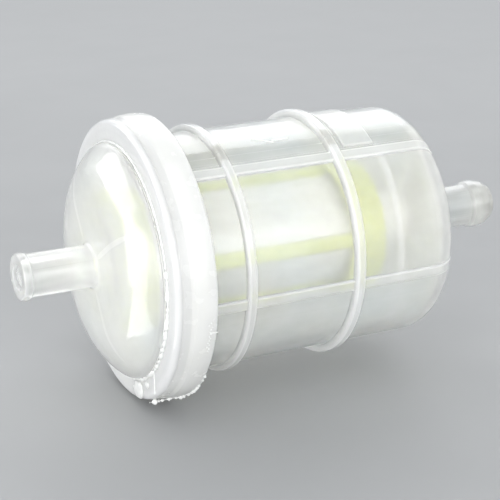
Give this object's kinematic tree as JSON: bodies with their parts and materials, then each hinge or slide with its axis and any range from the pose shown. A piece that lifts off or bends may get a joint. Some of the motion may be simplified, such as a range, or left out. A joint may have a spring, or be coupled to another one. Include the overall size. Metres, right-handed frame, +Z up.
{
  "type": "inline fuel filter",
  "caption": "Translucent inline fuel filter with hose nozzles at both ends, a domed end cap, a welded joint ring, a ribbed housing and a caged mesh element inside.",
  "frame": {"origin": "middle of the overall length, on the flow axis", "axes": "+X along the flow axis from inlet to outlet, +Z up with the blank label pad on top, -Y towards the front"},
  "size_m": [0.098, 0.0526, 0.0526],
  "materials": {
    "clear_plastic": "translucent natural plastic, glossy, slightly cloudy",
    "milky_plastic": "milky white translucent plastic with moulding flash",
    "yellow_plastic": "pale yellow-green moulded plastic",
    "filter_cloth": "fine woven white filter mesh"
  },
  "bodies": {
    "root": {"housing_body": "clear_plastic", "end_cap": "clear_plastic", "joint_ring": "milky_plastic", "element_outlet_ring": "yellow_plastic", "element_inlet_disc": "yellow_plastic", "element_bar_1": "yellow_plastic", "element_bar_2": "yellow_plastic", "element_bar_3": "yellow_plastic", "element_bar_4": "yellow_plastic", "filter_mesh_1": "filter_cloth", "filter_mesh_2": "filter_cloth", "filter_mesh_3": "filter_cloth", "filter_mesh_4": "filter_cloth"}
  },
  "joints": []
}
